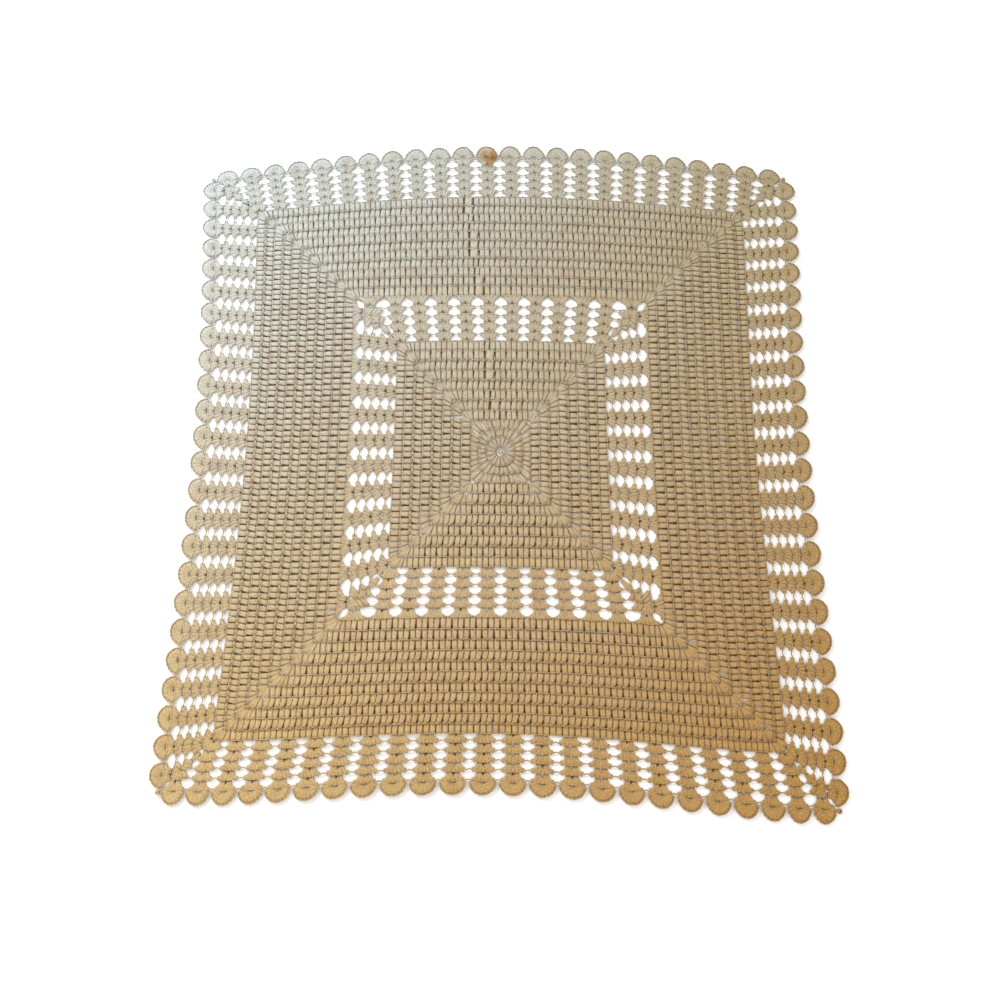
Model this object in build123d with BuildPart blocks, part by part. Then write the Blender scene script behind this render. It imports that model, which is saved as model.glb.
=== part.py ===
"""Square crocheted throw, laid flat: a solid centre square, a band of openwork, a wide solid band,
a second band of openwork and a scalloped edging, each worked round the one before it.

Frame: origin on the underside at the centre of the square, +Z up out of the cloth, +Y towards the
side that holds the last knot, +X along that side.  Millimetres.

Cloth bends anywhere.  It is modelled with the three creases that it is put away by, all parallel
to Y: the two side quarters fold in over the middle, then the right half folds over the left.
The creases cut every round into strips, and each strip is rigid.
"""

import os

from build123d import *

# Driving dimensions: the crochet gauge, and the number of rounds of each kind.
stitch_round = 13.0          # height of a round of plain stitches
lace_round = 12.5            # height of a round of fans
rosette_rounds = 3           # plain rounds at the centre
square_inner_rounds = 4
square_outer_rounds = 4
lace_rounds = 5              # in either band of openwork
band_inner_rounds = 2
band_middle_rounds = 4
band_outer_rounds = 5
scallop_depth = 21.0         # from the last openwork round to the tip of a scallop
scallops_per_half_side = 12

# Thickness of the yarn structure, and how far the thinner openwork stands off the surface below.
plain_thickness = 5.0
lace_thickness = 4.0
lace_lift = 0.5
edging_thickness = 6.0

# Eyelets of the openwork: a flat lens, long along the side.
eyelet_length = 15.0
eyelet_height = 9.0
eyelet_flat = 8.0            # the straight part of its two long sides
inner_eyelet_pitch = 32.0
inner_eyelets_each_way = 4   # columns each side of the middle one
outer_eyelets_each_way = 10
late_rounds = 2              # the last rounds of a band have one more column at each end

# Joints between solids.
crease_gap = 1.0             # between two strips, across a crease
mitre_gap = 0.4              # between two sides of a round, along the diagonal

# Trim.
picot_radius = 4.0
picot_reach = 4.2            # from the edging's corner to the picot's middle, along X and Y
knot_radius = 4.5
knot_x = -5.0
centre_hole_radius = 4.0

# Half widths of the square after each kind of round.
rosette_half = rosette_rounds * stitch_round
inner_square_half = rosette_half + square_inner_rounds * stitch_round
square_half = inner_square_half + square_outer_rounds * stitch_round
inner_lace_half = square_half + lace_rounds * lace_round
crease_x = inner_lace_half + band_inner_rounds * stitch_round
band_middle_half = crease_x + band_middle_rounds * stitch_round
band_half = band_middle_half + band_outer_rounds * stitch_round
outer_lace_half = band_half + lace_rounds * lace_round
outer_half = outer_lace_half + scallop_depth
scallop_pitch = outer_lace_half / scallops_per_half_side

strips = {
    "left_outer": (-outer_half - 1, -crease_x - crease_gap / 2),
    "left_inner": (-crease_x + crease_gap / 2, -crease_gap / 2),
    "right_inner": (crease_gap / 2, crease_x - crease_gap / 2),
    "right_outer": (crease_x + crease_gap / 2, outer_half + 1),
}
inner_strips = ("left_inner", "right_inner")

os.makedirs("parts", exist_ok=True)
volumes = []


def finish(part, name):
    """Labels a finished piece and writes it."""
    part.label = name
    export_step(part, f"parts/{name}.step")
    volumes.append(part.volume)


def side_outline(inner, outer):
    """Corners of the far side of a square round, cut back along both diagonals."""
    half_gap = mitre_gap / 2
    if inner == 0:
        return [(0, 0), (outer - half_gap, outer), (half_gap - outer, outer)]
    return [
        (inner - half_gap, inner),
        (outer - half_gap, outer),
        (half_gap - outer, outer),
        (half_gap - inner, inner),
    ]


def eyelet_places(inner, pitch, each_way):
    """Middles of the eyelets of one side of an openwork round."""
    return [(column * pitch, inner + lace_round / 2) for column in range(-each_way, each_way + 1)]


def write_strip(name, strip, outline, plane, thickness, eyelets=(), lobes=(), hole=0):
    """One strip of a square round: the sides, or ends of sides, that lie between its two x limits."""
    low, high = strips[strip]
    with BuildPart() as piece:
        for quarter in range(4):
            with BuildSketch(plane.rotated((0, 0, 90 * quarter))) as side:
                Polygon(*outline, align=None)
                if lobes:
                    with Locations(*lobes):
                        Ellipse(scallop_pitch / 2, scallop_depth)
                    with Locations((0, outer_lace_half)):
                        Rectangle(2 * outer_half, outer_half, align=(Align.CENTER, Align.MIN),
                                  mode=Mode.INTERSECT)
                if eyelets:
                    with Locations(*eyelets):
                        Polygon(*eyelet_outline, align=None, mode=Mode.SUBTRACT)
                if hole:
                    Circle(hole, mode=Mode.SUBTRACT)
            extrude(amount=thickness)
        with BuildSketch(Plane.XY):
            with Locations(((low + high) / 2, 0)):
                Rectangle(high - low, 2 * outer_half + 2)
        extrude(amount=2 * edging_thickness, mode=Mode.INTERSECT)
    finish(piece.part, f"{name}_{strip}")


eyelet_outline = [
    (-eyelet_length / 2, 0),
    (-eyelet_flat / 2, -eyelet_height / 2),
    (eyelet_flat / 2, -eyelet_height / 2),
    (eyelet_length / 2, 0),
    (eyelet_flat / 2, eyelet_height / 2),
    (-eyelet_flat / 2, eyelet_height / 2),
]

# Plain rounds, in groups: a rosette with an open ring in the middle, the rest of the centre
# square, and the wide band.
plain_groups = [
    ("centre_rosette", 0, rosette_half, inner_strips),
    ("centre_square_inner_rounds", rosette_half, inner_square_half, inner_strips),
    ("centre_square_outer_rounds", inner_square_half, square_half, inner_strips),
    ("main_band_inner_rounds", inner_lace_half, crease_x, inner_strips),
    ("main_band_middle_rounds", crease_x, band_middle_half, strips),
    ("main_band_outer_rounds", band_middle_half, band_half, strips),
]
for name, inner, outer, across in plain_groups:
    for strip in across:
        hole = centre_hole_radius if inner == 0 else 0
        write_strip(name, strip, side_outline(inner, outer), Plane.XY, plain_thickness, hole=hole)

# Openwork rounds: fans of stitches with an eyelet between each two, one node to a round and strip.
lace_bands = [
    ("inner_lace", square_half, inner_eyelet_pitch, inner_eyelets_each_way, inner_strips),
    ("outer_lace", band_half, scallop_pitch, outer_eyelets_each_way, strips),
]
for name, start, pitch, each_way, across in lace_bands:
    for number in range(1, lace_rounds + 1):
        inner = start + (number - 1) * lace_round
        columns = each_way + (number > lace_rounds - late_rounds)
        for strip in across:
            write_strip(
                f"{name}_round_{number}", strip, side_outline(inner, inner + lace_round),
                Plane.XY.offset(lace_lift), lace_thickness,
                eyelets=eyelet_places(inner, pitch, columns),
            )

# Edging: a row of half-round scallops, one to each fan of the last openwork round.
scallop_middles = [
    ((number + 0.5) * scallop_pitch, outer_lace_half)
    for number in range(-scallops_per_half_side, scallops_per_half_side)
]
edging_foot = side_outline(outer_lace_half, outer_lace_half + mitre_gap)
for strip in strips:
    write_strip("scallop_edging", strip, edging_foot, Plane.XY, edging_thickness,
                lobes=scallop_middles)

# A picot, a small loop of yarn, closes each corner of the edging.
for corner, (x_side, y_side) in {
    "far_left": (-1, 1), "far_right": (1, 1), "near_left": (-1, -1), "near_right": (1, -1),
}.items():
    middle = outer_lace_half + mitre_gap / 2 + picot_reach
    foot = middle - picot_reach / 2
    with BuildPart() as picot:
        with BuildSketch():
            with Locations((x_side * middle, y_side * middle)):
                Circle(picot_radius)
            with Locations((x_side * foot, y_side * foot)):
                Rectangle(picot_reach, picot_reach)
        extrude(amount=plain_thickness)
        chamfer(picot.faces().sort_by(Axis.Z)[-1].edges(), 1)
    finish(picot.part, f"corner_picot_{corner}")

# The knot where the yarn was fastened off, on top of the edging beside the middle of the far side.
with BuildPart() as knot:
    with BuildSketch(Plane.XY.offset(edging_thickness)):
        with Locations((knot_x - knot_radius, outer_half - 2 * knot_radius)):
            Circle(knot_radius)
    extrude(amount=knot_radius)
    fillet(knot.faces().sort_by(Axis.Z)[-1].edges(), 2.5)
finish(knot.part, "fastening_knot")

print(f"outer size {2 * outer_half:.1f} mm, crease at {crease_x:.1f} mm, "
      f"scallop pitch {scallop_pitch:.2f} mm, volume {sum(volumes) / 1000:.0f} cm3")
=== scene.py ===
import math
import random

import bmesh
import bpy
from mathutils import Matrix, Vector


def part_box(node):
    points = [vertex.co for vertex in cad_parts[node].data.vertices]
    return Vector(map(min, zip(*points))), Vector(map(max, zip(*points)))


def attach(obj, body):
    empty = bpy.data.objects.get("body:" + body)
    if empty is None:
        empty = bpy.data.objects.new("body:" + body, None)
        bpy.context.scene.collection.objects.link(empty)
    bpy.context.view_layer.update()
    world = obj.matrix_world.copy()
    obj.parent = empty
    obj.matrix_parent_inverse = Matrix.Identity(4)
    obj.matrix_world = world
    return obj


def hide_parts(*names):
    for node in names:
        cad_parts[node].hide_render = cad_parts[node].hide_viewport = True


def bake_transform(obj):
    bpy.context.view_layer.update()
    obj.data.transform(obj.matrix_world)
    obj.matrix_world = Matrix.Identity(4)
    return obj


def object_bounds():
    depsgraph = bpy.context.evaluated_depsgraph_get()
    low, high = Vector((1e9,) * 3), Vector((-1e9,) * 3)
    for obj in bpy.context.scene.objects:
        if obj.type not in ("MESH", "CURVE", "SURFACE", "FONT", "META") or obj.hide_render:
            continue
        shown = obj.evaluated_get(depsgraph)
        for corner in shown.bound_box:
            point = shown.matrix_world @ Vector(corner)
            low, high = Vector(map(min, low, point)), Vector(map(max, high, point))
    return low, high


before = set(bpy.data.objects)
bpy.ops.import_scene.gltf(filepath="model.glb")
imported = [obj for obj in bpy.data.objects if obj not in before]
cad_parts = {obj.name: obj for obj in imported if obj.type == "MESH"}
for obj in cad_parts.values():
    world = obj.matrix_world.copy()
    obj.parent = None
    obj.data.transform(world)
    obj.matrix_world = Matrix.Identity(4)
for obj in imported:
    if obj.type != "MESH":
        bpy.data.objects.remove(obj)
cad_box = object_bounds()

# ---- Table, light and camera --------------------------------------------------------------
# The throw lies open on a plain white table.  A broad daylight source stands beyond its far left
# corner, and the camera looks down from above the near edge.


def linear(hex_colour):
    """An sRGB hex colour as linear values, with full alpha."""
    parts = [int(hex_colour[i:i + 2], 16) / 255 for i in (1, 3, 5)]
    return [c / 12.92 if c <= 0.04045 else ((c + 0.055) / 1.055) ** 2.4 for c in parts] + [1.0]


def add(tree, kind, feeds=None, **settings):
    """Adds a node with its settings, and links or sets the inputs that feeds names."""
    made = tree.nodes.new(kind)
    for name, value in settings.items():
        setattr(made, name, value)
    for name, value in (feeds or {}).items():
        if isinstance(value, bpy.types.NodeSocket):
            tree.links.new(value, made.inputs[name])
        else:
            made.inputs[name].default_value = value
    return made


def new_material(name):
    """An empty node material and its output."""
    material = bpy.data.materials.new(name)
    material.use_nodes = True
    material.node_tree.nodes.clear()
    return material, material.node_tree


scene = bpy.context.scene
for spare in [o for o in scene.objects if o.type in ("LIGHT", "CAMERA")]:
    bpy.data.objects.remove(spare)
scene.view_settings.view_transform = "Standard"

camera_data = bpy.data.cameras.new("camera")
camera_data.lens = 36.0
camera_data.sensor_width = 36.0
camera = bpy.data.objects.new("camera", camera_data)
camera.location = (0.0111, -0.3936, 1.2712)
camera.rotation_euler = (math.radians(14.59), math.radians(0.28), math.radians(0.81))
scene.collection.objects.link(camera)
scene.camera = camera

# Laminate table top: white and matt, so that it bounces light up into the openwork.
table_size = 12.0
table_mesh = bpy.data.meshes.new("table")
bm = bmesh.new()
bmesh.ops.create_grid(bm, x_segments=1, y_segments=1, size=table_size / 2)
bm.to_mesh(table_mesh)
bm.free()
table = bpy.data.objects.new("table", table_mesh)
scene.collection.objects.link(table)
laminate, tree = new_material("white_laminate")
surface = add(tree, "ShaderNodeBsdfPrincipled", {
    "Base Color": linear("#FBFBFA"), "Roughness": 0.75, "Specular IOR Level": 0.1})
add(tree, "ShaderNodeOutputMaterial", {"Surface": surface.outputs[0]})
table_mesh.materials.append(laminate)

world = bpy.data.worlds.new("studio")
world.use_nodes = True
world.node_tree.nodes["Background"].inputs["Color"].default_value = linear("#FFFFFF")
world.node_tree.nodes["Background"].inputs["Strength"].default_value = 0.95
scene.world = world


def soft_box(name, place, size, power, colour):
    """A square studio light aimed at the middle of the table."""
    data = bpy.data.lights.new(name, "AREA")
    data.size = size
    data.energy = power
    data.color = linear(colour)[:3]
    light = bpy.data.objects.new(name, data)
    light.location = place
    light.rotation_euler = (-Vector(place)).to_track_quat("-Z", "Y").to_euler()
    scene.collection.objects.link(light)


soft_box("window", (-1.3, 1.2, 1.5), 0.9, 36.0, "#F4F8FF")
soft_box("fill", (1.5, -1.0, 1.9), 1.4, 9.0, "#FFF3DF")

# ---- Centre rosette, and how every stitch is made -----------------------------------------
# Soft cotton yarn, crocheted from the middle outwards: a small ring, then three plain rounds that
# turn the circle into a square.  A stitch is a post of two strands side by side, worked into the
# round below, with one or two loops lying across its head.

MM = 0.001
half = (cad_box[1][0] - cad_box[0][0]) / 2 / MM      # from the middle to the scallop tips
stitch_round = 13.0          # depth of a plain round, in mm, and of an openwork one
lace_round = 12.5
stitch_pitch = 7.4           # from one plain stitch to the next

swell = 0.5                  # half the height of the low waves in the cloth, in mm


def ripple(x, y):
    """How far the cloth stands off the table, in mm, at a place in metres."""
    return swell * (1 + math.sin(12 * x + 3 * y + 0.6) * math.sin(10 * y - 4 * x + 1.9))


def lay(x, y, z):
    """Where a point of the flat cloth, in mm, lies on the table, in metres.

    The cloth was laid down by hand: the far edge is pulled out into a bow, the near one drawn in,
    both sides have a waist, and the near corners flare.  Each term is in mm at the edges."""
    u, v = x / half, y / half
    sideways = 28 * u * v * v - 19 * u ** 3 - 18 * u * v - 14 * u * v ** 4 + 15 * u ** 3 * v
    sideways -= 6 * v + 4 * v ** 4
    away = 3 + 46 * v + 11 * v * v - 26 * v ** 3 - 26 * u * u - 32 * u * u * v * v
    away += 25 * u ** 4 - 12 * u ** 4 * v + 6 * u * v ** 3
    x, y = (x + sideways) * MM, (y + away) * MM
    return Vector((x, y, z * MM + ripple(x, y) * MM))


stain_place = lay(-12, 411, 3)      # beside the fastening knot


def yarn_material():
    """Soft spun cotton, plied from a cream and a golden tan end, matt with a little fuzz.

    The tone drifts from grey-cream in the far left corner to golden tan in the near right one.
    This drift is painted light: the cool tint of the light from the far left and the warm tint of
    the light from the near right.  The yarn is also browner down in the hollows between the
    stitches, which is painted shade."""
    material, tree = new_material("spun_cotton_yarn")
    place = add(tree, "ShaderNodeTexCoord").outputs["Object"]
    split = add(tree, "ShaderNodeSeparateXYZ", {"Vector": place})

    def ramp(value, low, high):
        return add(tree, "ShaderNodeMapRange", {
            "Value": value, "From Min": low, "From Max": high}).outputs["Result"]

    def blend(share, first, second):
        mixed = add(tree, "ShaderNodeMix", data_type="RGBA", blend_type="MIX")
        for socket, value in zip((mixed.inputs[0], mixed.inputs[6], mixed.inputs[7]),
                                 (share, first, second)):
            if isinstance(value, bpy.types.NodeSocket):
                tree.links.new(value, socket)
            else:
                socket.default_value = value
        return mixed.outputs[2]

    # Painted light: the cool tint of the light in the far left corner and its warm tint in the near
    # right one, drifting across the cloth.
    across = ramp(split.outputs["X"], -0.43, 0.43)
    away = ramp(split.outputs["Y"], -0.36, 0.43)
    near = blend(across, linear("#DFBF82"), linear("#BB8B3A"))
    far = blend(across, linear("#D6E2E1"), linear("#B29F70"))
    painted_light_drift = blend(away, near, far)
    # Patches about 18 mm wide, where one end of the ply shows more than the other, and flecks of
    # paler fibre under 2 mm long.
    patches = add(tree, "ShaderNodeTexNoise", {
        "Vector": place, "Scale": 55.0, "Detail": 3.0, "Roughness": 0.6}).outputs["Fac"]
    warm = blend(ramp(patches, 0.5, 0.7), painted_light_drift, linear("#AC7A38"))
    mottled = blend(0.3, painted_light_drift, warm)
    flecks = add(tree, "ShaderNodeTexNoise", {
        "Vector": place, "Scale": 620.0, "Detail": 2.0}).outputs["Fac"]
    flecked = blend(ramp(flecks, 0.56, 0.80), mottled, linear("#D8D0BA"))
    # Painted shade in pits about 2.5 mm wide, where the twist opens and the yarn shades itself; the
    # same pits also bump the surface.  They are drawn coarser than in real yarn, so that they show
    # from a metre away.
    pits = add(tree, "ShaderNodeTexNoise", {
        "Vector": place, "Scale": 420.0, "Detail": 2.0, "Roughness": 0.6}).outputs["Fac"]
    pit_painted_shade = blend(0.32, flecked, linear("#6E4C1E"))
    shaded = blend(ramp(pits, 0.47, 0.35), flecked, pit_painted_shade)
    # Painted shade: down in the hollows, low in the cloth, the yarn is darkened to a deep golden
    # brown.
    height = add(tree, "ShaderNodeAttribute", attribute_name="height").outputs["Fac"]
    toned = blend(ramp(height, 1.5, 0.8), shaded, linear("#5E4219"))
    # A tea-brown stain round the knot on the far edge.
    off = add(tree, "ShaderNodeVectorMath", {0: place, 1: stain_place}, operation="DISTANCE")
    stained = blend(ramp(off.outputs["Value"], 0.022, 0.006), toned, linear("#B08646"))
    toned = blend(ramp(patches, 0.38, 0.52), toned, stained)
    # Fibres: a fuzz of under 1 mm, and the twist of the ply as slanted ridges along each strand.
    fuzz = add(tree, "ShaderNodeTexNoise", {
        "Vector": place, "Scale": 1400.0, "Detail": 3.0}).outputs["Fac"]
    strand = add(tree, "ShaderNodeTexCoord").outputs["UV"]
    slanted = add(tree, "ShaderNodeMapping", {
        "Vector": strand, "Rotation": (0, 0, math.radians(35))}).outputs["Vector"]
    ply = add(tree, "ShaderNodeTexWave", {
        "Vector": slanted, "Scale": 3.0, "Distortion": 0.5}).outputs["Fac"]
    # Painted shade in the grooves between the ply's slanted ridges.
    toned = blend(ramp(ply, 0.45, 0.0), toned, blend(0.3, toned, linear("#6B4C22")))
    pitted = add(tree, "ShaderNodeBump", {
        "Height": pits, "Strength": 0.8, "Distance": 0.0012}).outputs["Normal"]
    ridges = add(tree, "ShaderNodeBump", {
        "Height": ply, "Strength": 0.7, "Distance": 0.0005, "Normal": pitted}).outputs["Normal"]
    fuzzy = add(tree, "ShaderNodeBump", {
        "Height": fuzz, "Strength": 0.5, "Distance": 0.0004, "Normal": ridges}).outputs["Normal"]
    surface = add(tree, "ShaderNodeBsdfPrincipled", {
        "Base Color": toned, "Roughness": 0.88, "Specular IOR Level": 0.25,
        "Sheen Weight": 0.25, "Sheen Roughness": 0.5, "Normal": fuzzy})
    add(tree, "ShaderNodeOutputMaterial", {"Surface": surface.outputs[0]})
    return material


yarn = yarn_material()

# Section of a post, in mm: two strands side by side, thin where they meet their neighbours.
post_section = [(-3.25, -0.6), (-1.8, 0.8), (0.0, 0.1), (1.8, 0.8), (3.25, -0.6)]
post_wide = 6.5              # width of that section
post_top = 2.7               # height of a post's middle above the table, in mm
post_widths = (1.14, 0.92)   # at the foot and at the head, times post_wide
loop_radius = 0.85
random.seed(4)


def profile_object():
    """The post's section as a curve to bevel with."""
    data = bpy.data.curves.new("post_section", "CURVE")
    data.dimensions = "2D"
    outline = data.splines.new("POLY")
    outline.points.add(len(post_section) - 1)
    for point, (x, y) in zip(outline.points, post_section):
        point.co = (x * MM, y * MM, 0, 1)
    outline.use_cyclic_u = True
    section = bpy.data.objects.new("post_section", data)
    scene.collection.objects.link(section)
    return section


class Crochet:
    """The strands of one piece, collected stitch by stitch."""

    def __init__(self):
        self.posts = []
        self.loops = []
        self.backs = []

    def post(self, points, widths):
        """A post through points, in mm on the flat cloth, with its width at each."""
        self.posts.append((points, widths))

    def loop(self, points, widths):
        """A round strand through points, with its thickness at each."""
        self.loops.append((points, widths))

    def back(self, middle, out, width, depth):
        """The yarn that passes behind a slot, a flat pad low in the cloth, wider further out."""
        self.backs.append((middle, out, width, depth))

    def add_strands(self, bm, strands, section):
        """Adds strands to bm, beveled with the section, or round where there is none."""
        data = bpy.data.curves.new("strands", "CURVE")
        data.dimensions = "3D"
        data.twist_mode = "Z_UP"
        data.use_fill_caps = True
        if section:
            data.bevel_mode = "OBJECT"
            data.bevel_object = section
        else:
            data.bevel_depth = loop_radius * MM
            data.bevel_resolution = 1
        for points, widths in strands:
            spline = data.splines.new("POLY")
            spline.points.add(len(points) - 1)
            for point, place, width in zip(spline.points, points, widths):
                point.co = (*lay(*place), 1)
                point.radius = width
        curve = bpy.data.objects.new("strands", data)
        scene.collection.objects.link(curve)
        graph = bpy.context.evaluated_depsgraph_get()
        mesh = bpy.data.meshes.new_from_object(curve.evaluated_get(graph), depsgraph=graph)
        bm.from_mesh(mesh)
        bpy.data.objects.remove(curve)
        bpy.data.meshes.remove(mesh)

    def object(self, name):
        """One mesh of all the strands, each closed at its ends.

        Each point keeps its height in the cloth, in mm, which sets the painted shade in the
        hollows.  Loops lie on top, so they count as higher and take less of it, and the pads behind
        the slots stay at nought and take it in full."""
        section = profile_object()
        bm = bmesh.new()
        height = bm.verts.layers.float.new("height")
        for strands, bevel, lift in ((self.posts, section, 0.0), (self.loops, None, 1.0)):
            known = len(bm.verts)
            self.add_strands(bm, strands, bevel)
            bm.verts.ensure_lookup_table()
            for vertex in bm.verts[known:]:
                vertex[height] = vertex.co.z / MM - ripple(vertex.co.x, vertex.co.y) + lift
        bpy.data.objects.remove(section)
        for middle, out, width, depth in self.backs:
            side = Vector((out.y, -out.x)) * width / 2
            ahead = out * depth / 2
            ways = (side * 0.4 - ahead, side + ahead, -side + ahead, -side * 0.4 - ahead)
            under = [bm.verts.new(lay(*(middle + way), 0.4)) for way in ways]
            over = [bm.verts.new(lay(*(middle + way * 0.9), 0.9)) for way in ways]
            bm.faces.new(under)
            bm.faces.new(over)
            for i in range(4):
                bm.faces.new((under[i - 1], under[i], over[i], over[i - 1]))
        bmesh.ops.remove_doubles(bm, verts=bm.verts, dist=1e-6)
        bmesh.ops.recalc_face_normals(bm, faces=bm.faces)
        mesh = bpy.data.meshes.new(name)
        bm.to_mesh(mesh)
        bm.free()
        mesh.shade_smooth()
        mesh.materials.append(yarn)
        made = bpy.data.objects.new(name, mesh)
        scene.collection.objects.link(made)
        return made


def wobble(amount):
    """A small hand-made unevenness, in mm."""
    return random.uniform(-amount, amount)


def stitch(work, foot, head, out, pitch, wide=post_widths, rise=0.0, ridge=0.0, lean=0.0,
           flare=0.8, sweep=0.25, bulk=1.0, loops=2, along=None, reach=0.86):
    """One double crochet, from its foot in the round below to its head.

    out points away from the middle, pitch is the width of its loops, along is the way that they
    run, and bulk their thickness.  rise lifts the post, and ridge the loops.  flare and sweep say
    how the post bends on its way, and reach how much of the way it goes."""
    side = Vector((out.y, -out.x))
    foot = foot - side * lean
    head = head + side * (lean + wobble(0.3)) + out * wobble(0.3)
    step = head - foot
    turn = foot + out * (flare * step.dot(out)) + side * (sweep * step.dot(side))
    top = post_top + rise
    along = along or side

    def at(share, sideways=0.0, z=0.0, onward=0.0):
        place = foot * (1 - share) ** 2 + turn * (2 * share * (1 - share)) + head * share ** 2
        place = place + along * sideways + out * onward
        return place.x, place.y, z

    work.post([at(0.02, z=1.3), at(0.25, z=2.1 + rise * 0.5), at(0.5, z=top),
               at(0.7, z=top + 0.1), at(reach, z=2.2 + rise * 0.6)],
              [wide[0] * (1 - t) + wide[1] * t for t in (0, 0.2, 0.5, 0.75, 1)])
    proud = top + 0.8 + ridge + wobble(0.15)
    # Where each loop starts and ends, past the head, and how its ends and middle stand.
    two_loops = ((-2.3, 0.3, 0.0, 0.0), (1.3, -0.1, -0.1, -0.5))
    one_loop = ((-0.3, -0.3, 0.0, -0.2),)
    for start, end, low, high in two_loops if loops == 2 else one_loop:
        arch = []
        for i in range(5):
            t = 0.5 * i - 1
            z = (top - 0.7 + low) * t * t + (proud + high) * (1 - t * t)
            arch.append(at(1.0, 0.51 * pitch * t, z, start + (end - start) * (t + 1) / 2))
        work.loop(arch, [0.75 * bulk, 0.95 * bulk, bulk, 0.95 * bulk, 0.75 * bulk])


def turned(point, quarter):
    """A point of the far side, carried round to another side."""
    for _ in range(quarter):
        point = Vector((-point.y, point.x))
    return point


def finish_cloth(work, name, nodes, across="middle"):
    """Makes the piece, hides the CAD nodes that it stands for, and bakes its placement into its
    mesh.
    """
    piece = work.object(name)
    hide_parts(*nodes)
    fold_piece(piece, across)


def fold_piece(piece, across):
    """Bakes a piece's placement into its mesh, the same for the middle crease and for those towards
    its left or right.
    """
    if across == "middle":
        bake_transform(piece)
    elif across == "left":
        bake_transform(piece)
    else:
        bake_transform(piece)


def strips(stem, *names):
    """The CAD nodes of a round, by the strips that it is cut into."""
    return [f"{stem}_{name}" for name in names]


def rim(angle, size, squareness):
    """A point on the edge of a rosette round, which is partly a circle and partly a square."""
    c, s = math.cos(angle), math.sin(angle)
    reach = size * (1.06 * (1 - squareness) + squareness / max(abs(c), abs(s)))
    return Vector((c, s)) * reach


rosette_rounds = 3
rosette = Crochet()
ring_size = 2.7              # radius of the ring, in mm
ring_sides = 8
rosette_stitches = (16, 27, 40)
for i in range(ring_sides):
    a, b = (2 * math.pi * (i + k) / ring_sides for k in (-0.6, 0.6))
    rosette.loop([(ring_size * math.cos(t), ring_size * math.sin(t), z) for t, z in
                  ((a, 2.4), ((a + b) / 2, 3.6), (b, 2.6))], [1.5, 1.7, 1.5])
# Radius of each round's edge, and how square it is.
edges = [(ring_size + 1.8, 0.0), (stitch_round * 1.35, 0.1), (stitch_round * 2.15, 0.55),
         (stitch_round * rosette_rounds, 1.0)]
for number, count in enumerate(rosette_stitches):
    (inner, inner_square), (outer, outer_square) = edges[number], edges[number + 1]
    for i in range(count):
        angle = 2 * math.pi * (i + 0.5) / count
        inward = 0.12 * (1 if i % 2 else -1) * 2 * math.pi / count if number else 0.0
        foot = rim(angle - inward, inner, inner_square)
        head = rim(angle, outer, outer_square)
        pitch = 6.28 * head.length / count       # a stitch's share of the way round
        stitch(rosette, foot, head, head.normalized(), pitch,
               wide=(0.3, 1.1) if number == 0 else (0.72, 1.08), ridge=0.3 * (number % 2),
               loops=1 + number % 2)
finish_cloth(rosette, "centre_rosette",
             strips("centre_rosette", "left_inner", "right_inner"))

# ---- Centre square --------------------------------------------------------------------------
# Eight more plain rounds.  The work is turned after each, so every second round shows its back;
# stitches sit in pairs, each pair between two of the round below, and fan out at the corners.

pair_pitch = 2 * stitch_pitch
corner_pitch = 8.0           # room for one corner stitch, roughly
pair_foot = 3.7              # from the middle of a pair to a foot, and to a head
pair_head = 2.85
slot_pad = 3.4               # width of the yarn seen through a slot, and through one at the join
join_pad = 5.6
join_slope = -0.135          # the rounds join in a line that leans this much to the left
join_clear = 5.6             # no stitch has its head nearer to that line than this
join_slot = 3.7              # from the head beside the join to the slot next to it
chain_room = 9.0             # what the chain leaves free between the heads beside it
chain_widest = 1.8           # times post_wide


def plain_side(inner, outer, shift, paired=True):
    """(foot, head, pitch, widths) of each stitch on the far side of a plain round and of its
    right-hand corner, and the x of each slot between two pairs.  Corner stitches have their own
    widths, which fill the corner."""
    reach = inner - 0.45 * pair_pitch
    count = int(reach / pair_pitch) + 1
    middles = [(i + shift) * pair_pitch for i in range(-count - 1, count + 2)]
    middles = [x for x in middles if abs(x) <= reach]
    near, far = (pair_foot, pair_head) if paired else (stitch_pitch / 2, stitch_pitch / 2)
    made = []
    for x in middles:
        for side in (-1, 1):
            made.append((Vector((x + side * near, inner)), Vector((x + side * far, outer)),
                         stitch_pitch, None))
    # Past the last pair the stitches stand apart, with their feet crowded together.
    for side in (-1, 1):
        last = max(side * x for x in middles) + pair_pitch / 2
        room = outer - last
        fan = max(1, round((room - corner_pitch / 2) / corner_pitch))
        pitch = room / (fan + 0.5)
        for i in range(fan):
            foot_x = last + (inner - last) * (i + 0.6) / (fan + 0.6)
            rounding = 1.2 * ((i + 1) / fan) ** 2
            foot_wide = max(0.45, 1.1 * (inner - last) / (fan + 0.6) / post_wide)
            made.append((Vector((side * foot_x, inner)),
                         Vector((side * (last + (i + 0.5) * pitch), outer - rounding)), pitch,
                         (foot_wide, 0.97 * pitch / post_wide)))
    # One more stands on the diagonal.
    made.append((Vector((inner - 0.5, inner - 0.5)), Vector((outer - 1.8, outer - 1.8)),
                 stitch_pitch * 0.8, (0.5, 0.95)))
    slots = [x + pair_pitch / 2 for x in middles[:-1]]
    return made, slots


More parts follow.
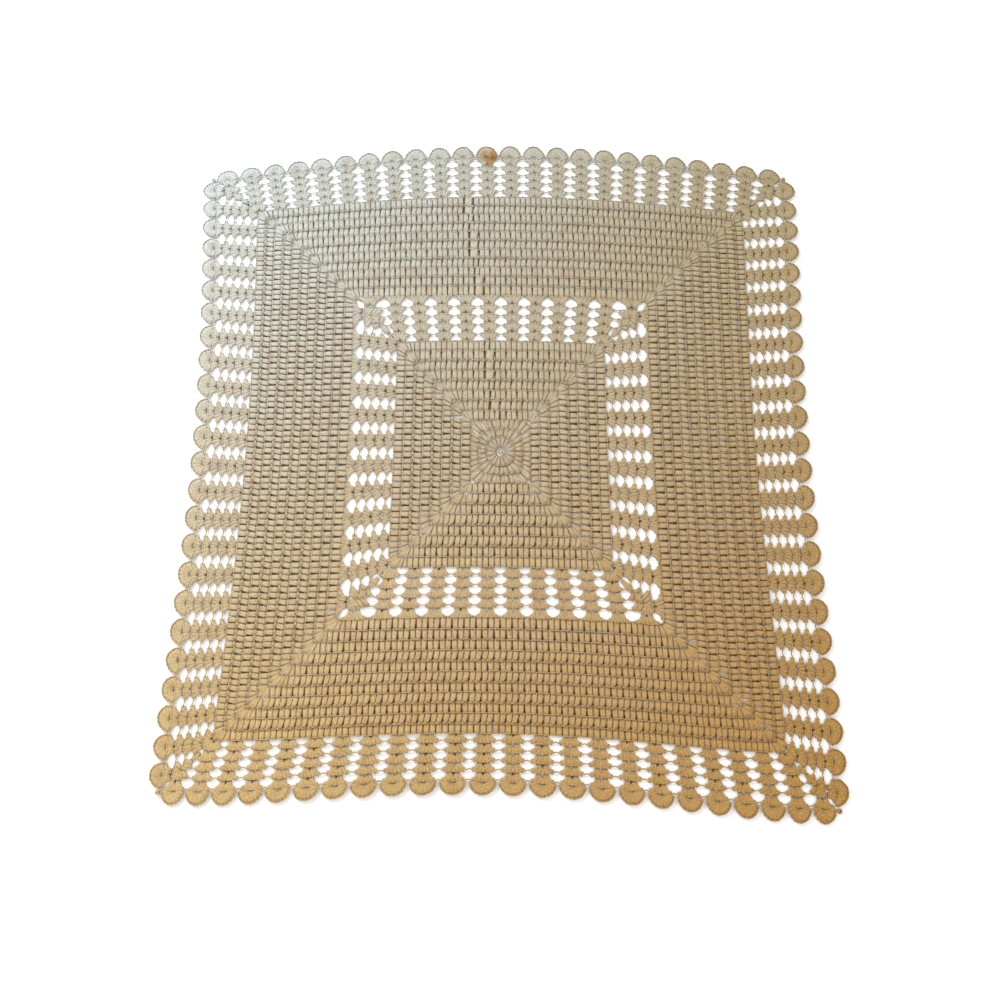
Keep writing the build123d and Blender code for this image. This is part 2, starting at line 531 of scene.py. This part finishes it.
def plain_round(work, inner, number, looks, keep=lambda x: True):
    """One round of plain stitches; looks gives its style, and keep chooses by x what to make.

    The far side has the join, where a thick chain with a slot each side stands for the turn."""
    outer = inner + stitch_round
    shift = 0.5 * (number % 2)
    lean = looks.get("lean", 0.0)
    join = join_slope * (inner + outer) / 2
    for quarter in range(4):
        out = turned(Vector((0, 1)), quarter)
        made, slots = plain_side(inner, outer, shift, looks.get("paired", True))
        join_slots = []
        if quarter == 0 and number > 0:
            made = [one for one in made if abs(one[1].x - join) > join_clear]
            before = max(one[1].x for one in made if one[1].x < join)
            after = min(one[1].x for one in made if one[1].x > join)
            gap = after - before
            chain = min(chain_widest, (gap - chain_room) / post_wide)
            middle = (before + after) / 2
            made.append((Vector((middle - 0.8, inner)), Vector((middle + 0.6, outer)),
                         gap - post_wide, (chain, chain)))
            slots = [x for x in slots if not before < x < after]
            join_slots = [before + join_slot, after - join_slot]
        for foot, head, pitch, wide in made:
            foot, head = turned(foot, quarter), turned(head, quarter)
            foot = foot - out * looks.get("deep", 0.0)
            if keep(head.x):
                at_corner = wide is not None
                ahead = (head - foot).normalized() if at_corner else out
                stitch(work, foot, head, ahead, pitch,
                       wide=wide or looks.get("wide", post_widths),
                       ridge=looks.get("ridge", 0.0), lean=0.0 if at_corner else lean,
                       rise=-0.4 if at_corner else 0.0, bulk=looks.get("bulk", 1.0),
                       loops=looks.get("loops", 2))
        for x in slots + join_slots:
            middle = turned(Vector((x + 0.4 * lean, inner + 0.56 * stitch_round)), quarter)
            if keep(middle.x):
                wide = join_pad if x in join_slots else slot_pad
                work.back(middle, out, wide, 2 * wide + 3)


# How a round looks from its front and its back, and how the special rounds are worked: close
# without slots, first with its feet deep in the openwork, and loose with narrow posts.
front = {"ridge": -0.4, "bulk": 1.05, "loops": 1}
back = {"ridge": 1.0, "lean": 1.3, "bulk": 0.95}
close = {"paired": False, "wide": (1.14, 1.04), "loops": 1, "bulk": 1.05}
first = {"deep": 2.0, "loops": 1}
loose = {"wide": (1.1, 0.85), "loops": 1, "ridge": 0.3}


# A round that reaches the side creases is cut in three, about half way between two creases.
cut = 108.0
whole = {"middle": lambda x: True}
thirds = {
    "left": lambda x: x < -cut,
    "middle": lambda x: abs(x) <= cut,
    "right": lambda x: x > cut,
}


def plain_group(name, number, count, start, split, looks_of):
    """A group of plain rounds, as one piece, or cut in three where it reaches the side creases."""
    for across, keep in (thirds if split else whole).items():
        work = Crochet()
        for i in range(count):
            plain_round(work, start + i * stitch_round, number + i, looks_of(number + i), keep)
        nodes = [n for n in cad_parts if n.startswith(name + "_rounds")
                 and (not split or across == "middle" or across in n)]
        finish_cloth(work, f"{name}_{across}" if split else name, nodes, across)


centre_rounds = 11
rosette_half = rosette_rounds * stitch_round


def square_looks(number):
    """The look of a round of the centre square; the last is close, to carry the openwork."""
    if number == centre_rounds:
        return close
    return back if number % 2 else front


plain_group("centre_square_inner", 4, 4, rosette_half, False, square_looks)
plain_group("centre_square_outer", 8, 4, rosette_half + 4 * stitch_round, False, square_looks)
square_half = centre_rounds * stitch_round

# ---- Inner openwork -------------------------------------------------------------------------
# Five rounds of fans: five stitches worked into the middle of the fan below, so that a lens-shaped
# eyelet opens between each two.  The corners take one more fan from the fourth round.

lace_rounds = 5
fan_stitches = 5
inner_fan_widths = (31.0, 32.7)      # in the first round and in the last
inner_fans_each_way = 4              # to the left and to the right of the middle of a side
late_round = 4               # from this round a band has one more fan at each end of a side
dip = 3.4                    # how far a fan's two ends hang back from its crown
fan_spread = 6.6             # the feet of a fan stay within this each way, and of a corner fan
corner_spread = 2.5
corner_fan_pitch = 6.2       # room for one stitch of a corner fan, roughly


def fan(work, foot, left, right, count, crown, out, keep, spread=fan_spread):
    """count stitches out of one place, their heads along an arc from left to right that stands
    crown proud in its middle; the feet stay within spread each way."""
    side = (right - left) / count
    pitch = side.length
    for i in range(count):
        share = (i + 0.5) / count
        across = 2 * share - 1
        head = left.lerp(right, share) + out * (crown * (1 - across ** 2) - 0.9)
        start = foot + side.normalized() * across * spread + out * (4.0 * (1 - abs(across)) ** 3)
        arc = (side.normalized() * 0.5 * count * pitch - out * 2 * crown * across).normalized()
        if keep(head.x):
            stitch(work, start, head, out, pitch * 0.94, wide=(0.56, 0.96), flare=0.98, sweep=0.1,
                   along=arc, loops=1, bulk=1.1, reach=0.94)
    # The yarn behind shows at the foot of most fans on the far half, and of fewer on the near one.
    if keep(foot.x) and random.random() < (0.75 if foot.y > 0 else 0.35):
        work.back(foot + out * 2.5, out, 3.0, 4.5)


def side_of(out):
    """How far along the round, to the right of out, a point is."""
    return lambda point: point.x * out.y - point.y * out.x


def lace_round_of(work, start, number, pitches, columns, keep):
    """One round of fans on all four sides.  pitches are the first and last rounds' fan widths,
    and columns is how many whole fans stand each way from the middle of a side."""
    inner = start + (number - 1) * lace_round
    outer = inner + lace_round
    share = (number - 1) / (lace_rounds - 1)
    pitch = pitches[0] + (pitches[1] - pitches[0]) * share
    hang = dip if number < lace_rounds else 0.5 * dip
    ends = outer - hang
    count = columns + (number >= late_round)
    last = count * pitch
    tip = outer - 1.0
    for quarter in range(4):
        out = turned(Vector((0, 1)), quarter)
        corner_out = turned(Vector((1, 1)).normalized(), quarter)

        def place(x, y):
            return turned(Vector((x, y)), quarter)

        for k in range(-count, count):
            fan(work, place((k + 0.5) * pitch, inner - 1.0), place(k * pitch, ends),
                place((k + 1) * pitch, ends), fan_stitches, hang, out, keep)
        edge = last
        if number != late_round:
            edge = min(last + pitch, tip) if number < late_round else tip - 1.5
            for side in (-1, 1):
                near, far = place(side * last, ends), place(side * edge, ends + 1.0)
                left, right = sorted((near, far), key=side_of(out))
                fan(work, place(side * (last + edge) / 2, inner - 1.0), left, right, fan_stitches,
                    hang, out, keep)
        room = outer - edge
        if room > 3.0 and number < lace_rounds:
            foot = place(inner - 1.0, inner - 1.0)
            each = max(1, round(room / corner_fan_pitch))
            for left, right in ((place(edge, ends), place(tip, tip)),
                                (place(tip, tip), place(ends, edge))):
                fan(work, foot, left, right, each, 1.0, corner_out, keep, corner_spread)


for number in range(1, lace_rounds + 1):
    work = Crochet()
    lace_round_of(work, square_half, number, inner_fan_widths, inner_fans_each_way,
                  whole["middle"])
    finish_cloth(work, f"inner_lace_round_{number}",
                 strips(f"inner_lace_round_{number}", "left_inner", "right_inner"))
lace_half = square_half + lace_rounds * lace_round

# ---- Main band ------------------------------------------------------------------------------
# Eleven plain rounds.  The second is worked loosely and shows a line of slots; the last is close
# and even, to carry the next openwork.

band_rounds = 11


def band_looks(number):
    """The look of a round of the main band."""
    if number == 1:
        return first
    if number == 2:
        return loose
    if number == band_rounds:
        return close
    return front if number % 2 else back


plain_group("main_band_inner", 1, 2, lace_half, True, band_looks)
plain_group("main_band_middle", 3, 4, lace_half + 2 * stitch_round, True, band_looks)
plain_group("main_band_outer", 7, 5, lace_half + 6 * stitch_round, True, band_looks)
band_half = lace_half + band_rounds * stitch_round

# ---- Outer openwork -------------------------------------------------------------------------
# The same five rounds of fans again, on a longer side.

outer_fan_widths = (33.3, 34.1)
outer_fans_each_way = 10


def third_nodes(stem, across):
    """The CAD nodes that one of the three pieces of a round stands for."""
    return strips(stem, *{"left": ["left_outer", "left_inner"],
                          "middle": ["left_inner", "right_inner"],
                          "right": ["right_inner", "right_outer"]}[across])


for number in range(1, lace_rounds + 1):
    for across, keep in thirds.items():
        work = Crochet()
        lace_round_of(work, band_half, number, outer_fan_widths, outer_fans_each_way, keep)
        finish_cloth(work, f"outer_lace_round_{number}_{across}",
                     third_nodes(f"outer_lace_round_{number}", across),
                     across)
outer_lace_half = band_half + lace_rounds * lace_round

# ---- Scalloped edging -----------------------------------------------------------------------
# One full fan on each fan of the last openwork round, its heads on nearly a half circle; the fans
# are so full that they dome.

scallops_each_way = 12       # to the left and to the right of the middle of a side
scallop_pitch = outer_lace_half / scallops_each_way
scallop_stitches = 9
scallop_rise = 18.0          # from the openwork to a scallop's middle head, roughly
scallop_sweep = 77           # degrees from the middle of a scallop to its first and last head


def scallop(work, middle, keep, quarter):
    """One domed fan on the far side, carried round by quarter."""
    root = Vector((middle, outer_lace_half - 2.0))
    for i in range(scallop_stitches):
        angle = math.radians(scallop_sweep * (2 * i / (scallop_stitches - 1) - 1))
        away = Vector((math.sin(angle), math.cos(angle)))
        head = Vector((middle + 0.45 * scallop_pitch * away.x,
                       outer_lace_half - 0.5 + scallop_rise * away.y))
        start, head, away = (turned(v, quarter) for v in (root + away * 2.8, head, away))
        if keep(head.x):
            stitch(work, start, head, away, 5.6, wide=(0.4, 0.97), rise=1.1, flare=0.5,
                   loops=1, reach=1.0)


for across, keep in thirds.items():
    work = Crochet()
    for quarter in range(4):
        for k in range(-scallops_each_way, scallops_each_way):
            scallop(work, (k + 0.5) * scallop_pitch, keep, quarter)
    finish_cloth(work, f"scallop_edging_{across}",
                 third_nodes("scallop_edging", across), across)

# ---- Corner picots --------------------------------------------------------------------------
# A picot is three chain stitches drawn up into a bead at each corner, in the same yarn.  It sits
# where the last two scallops meet, so it rides with the outer strip on its side.

picot_out = 3.4              # from the openwork's corner to the bead, each way
picot_size = 2.0             # radius of a turn of its chain, and height from one turn to the next
picot_turn = 1.1

for name, (x_side, y_side) in {
    "far_left": (-1, 1), "far_right": (1, 1), "near_left": (-1, -1), "near_right": (1, -1),
}.items():
    bead = Vector((x_side, y_side)) * (outer_lace_half + picot_out)
    picot = Crochet()
    for turn in range(3):
        points = []
        for i in range(7):
            angle = math.radians(120 * turn + 60 * i)
            points.append((bead.x + picot_size * math.cos(angle),
                           bead.y + picot_size * math.sin(angle),
                           1.6 + picot_turn * turn + 0.3 * math.sin(2 * angle)))
        picot.loop(points, [1.5] * len(points))
    piece = picot.object(f"corner_picot_{name}")
    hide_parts(f"corner_picot_{name}")
    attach(piece, "left_outer" if x_side < 0 else "right_outer")

# ---- Fastening knot -------------------------------------------------------------------------
# The end of the yarn was cut and knotted beside the middle of the far side, on top of the edging.
# It is one turn of the same yarn, drawn tight.

low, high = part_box("fastening_knot")
knot_middle = [(a + b) / 2 / MM for a, b in zip(low, high)]
knot = Crochet()
knot_points = []
for i in range(11):
    t = i * math.pi / 5
    knot_points.append((knot_middle[0] + 2.6 * math.cos(t) + 0.8 * math.cos(3 * t),
                        knot_middle[1] + 2.2 * math.sin(t) - 12, 6.0 + 0.9 * math.sin(2 * t)))
knot.loop(knot_points, [1.2] * len(knot_points))
piece = knot.object("fastening_knot_yarn")
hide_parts("fastening_knot")
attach(piece, "left_inner")
